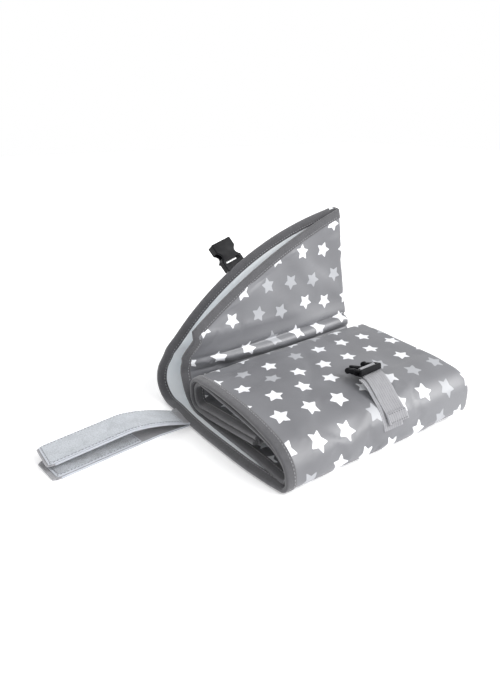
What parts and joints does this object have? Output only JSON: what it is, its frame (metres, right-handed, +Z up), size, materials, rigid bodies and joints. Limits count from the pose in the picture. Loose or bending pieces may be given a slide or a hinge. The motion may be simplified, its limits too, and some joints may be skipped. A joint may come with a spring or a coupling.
{
  "type": "changing pad",
  "caption": "Padded folding changing pad rolled into a clutch, with a raised arched flap, side release buckle and a hook and loop strap.",
  "frame": {"origin": "underside of the base, under the middle of the rolled clutch's top", "axes": "+X right along the front edge, away from the hook and loop strap; +Y back towards the flap; +Z up"},
  "size_m": [0.4003, 0.2426, 0.1935],
  "materials": {
    "printed_cloth": "satin woven polyester with a star print",
    "foam": "soft foam wadding",
    "lining": "smooth wipe-clean lining",
    "binding": "woven binding tape",
    "webbing": "ribbed webbing",
    "hook_tape": "hook tape",
    "loop_tape": "brushed loop tape",
    "buckle_plastic": "matt black moulded plastic"
  },
  "bodies": {
    "base": {"base_shell": "printed_cloth", "base_foam": "foam", "base_lining": "lining", "base_binding": "binding", "strap_anchor": "webbing"},
    "front": {"front_shell": "printed_cloth", "front_foam": "foam", "front_lining": "lining", "front_binding": "binding"},
    "shoulder": {"shoulder_shell": "printed_cloth", "shoulder_foam": "foam", "shoulder_lining": "lining", "shoulder_binding": "binding"},
    "top": {"top_shell": "printed_cloth", "top_foam": "foam", "top_lining": "lining", "top_binding": "binding"},
    "inner": {"inner_shell": "printed_cloth", "inner_foam": "foam", "inner_lining": "lining", "inner_binding": "binding", "inner_end_binding": "binding"},
    "riser": {"riser_shell": "printed_cloth", "riser_foam": "foam", "riser_lining": "lining", "riser_binding": "binding", "crease_welt": "printed_cloth"},
    "flap": {"flap_shell": "printed_cloth", "flap_foam": "foam", "flap_lining": "lining", "flap_binding": "binding", "female_tab": "webbing"},
    "lower_strap": {"lower_tail": "webbing", "hook_tape": "hook_tape"},
    "upper_strap": {"upper_tail": "webbing", "loop_tape": "loop_tape"},
    "male_webbing": {"male_strap": "webbing"},
    "male_buckle": {"male_frame": "buckle_plastic", "male_web_turn": "webbing"},
    "prong_left": {"male_prong_left": "buckle_plastic"},
    "prong_right": {"male_prong_right": "buckle_plastic"},
    "female_buckle": {"female_buckle": "buckle_plastic"}
  },
  "joints": [
    {"name": "front_fold", "type": "hinge", "parent": "base", "child": "front", "pos_m": [0, -0.077, 0.00445], "axis": [1, 0, 0], "range_deg": [0, 88]},
    {"name": "shoulder_fold", "type": "hinge", "parent": "front", "child": "shoulder", "pos_m": [0, -0.07556, 0.01993], "axis": [1, 0, 0], "range_deg": [0, 27]},
    {"name": "top_fold", "type": "hinge", "parent": "shoulder", "child": "top", "pos_m": [0, -0.01035, 0.05], "axis": [1, 0, 0], "range_deg": [0, 27]},
    {"name": "inner_fold", "type": "hinge", "parent": "top", "child": "inner", "pos_m": [0, 0.07895, 0.05], "axis": [1, 0, 0], "range_deg": [0, 71]},
    {"name": "riser_fold", "type": "hinge", "parent": "base", "child": "riser", "pos_m": [0, 0.113, 0.00445], "axis": [-1, 0, 0], "range_deg": [0, 45]},
    {"name": "flap_fold", "type": "hinge", "parent": "riser", "child": "flap", "pos_m": [0, 0.0975, 0.057], "axis": [-1, 0, 0], "range_deg": [-95, 10]},
    {"name": "male_strap_swing", "type": "hinge", "parent": "shoulder", "child": "male_webbing", "pos_m": [0.012, -0.0752, 0.0224], "axis": [-1, 0, 0], "range_deg": [-100, 0]},
    {"name": "male_buckle_swivel", "type": "hinge", "parent": "male_webbing", "child": "male_buckle", "pos_m": [0.015, -0.03408, 0.06227], "axis": [-0.9823, -0.1556, -0.1045], "range_deg": [-90, 0]},
    {"name": "left_prong_squeeze", "type": "hinge", "parent": "male_buckle", "child": "prong_left", "pos_m": [0.00307, -0.02543, 0.05914], "axis": [0.1312, -0.1724, -0.9762], "range_deg": [0, 8], "stiffness_Nm_per_rad": 0.3},
    {"name": "right_prong_squeeze", "type": "hinge", "parent": "male_buckle", "child": "prong_right", "pos_m": [0.02409, -0.0221, 0.06138], "axis": [-0.1312, 0.1724, 0.9762], "range_deg": [0, 8], "stiffness_Nm_per_rad": 0.3},
    {"name": "female_buckle_swivel", "type": "hinge", "parent": "flap", "child": "female_buckle", "pos_m": [-0.03062, 0.13997, 0.13689], "axis": [0.9621, 0.1227, 0.2436], "range_deg": [-50, 0]},
    {"name": "lower_tail_lift", "type": "hinge", "parent": "base", "child": "lower_strap", "pos_m": [-0.13715, 0.086, 0.0018], "axis": [0, 1, 0], "range_deg": [0, 30]},
    {"name": "upper_tail_lift", "type": "hinge", "parent": "lower_strap", "child": "upper_strap", "pos_m": [-0.13715, 0.084, 0.0044], "axis": [0, 1, 0], "range_deg": [0, 50]}
  ],
  "couplings": [
    {"joint": "shoulder_fold", "follows": "front_fold", "ratio": 0.3},
    {"joint": "top_fold", "follows": "front_fold", "ratio": 0.3},
    {"joint": "inner_fold", "follows": "front_fold", "ratio": 0.8}
  ]
}
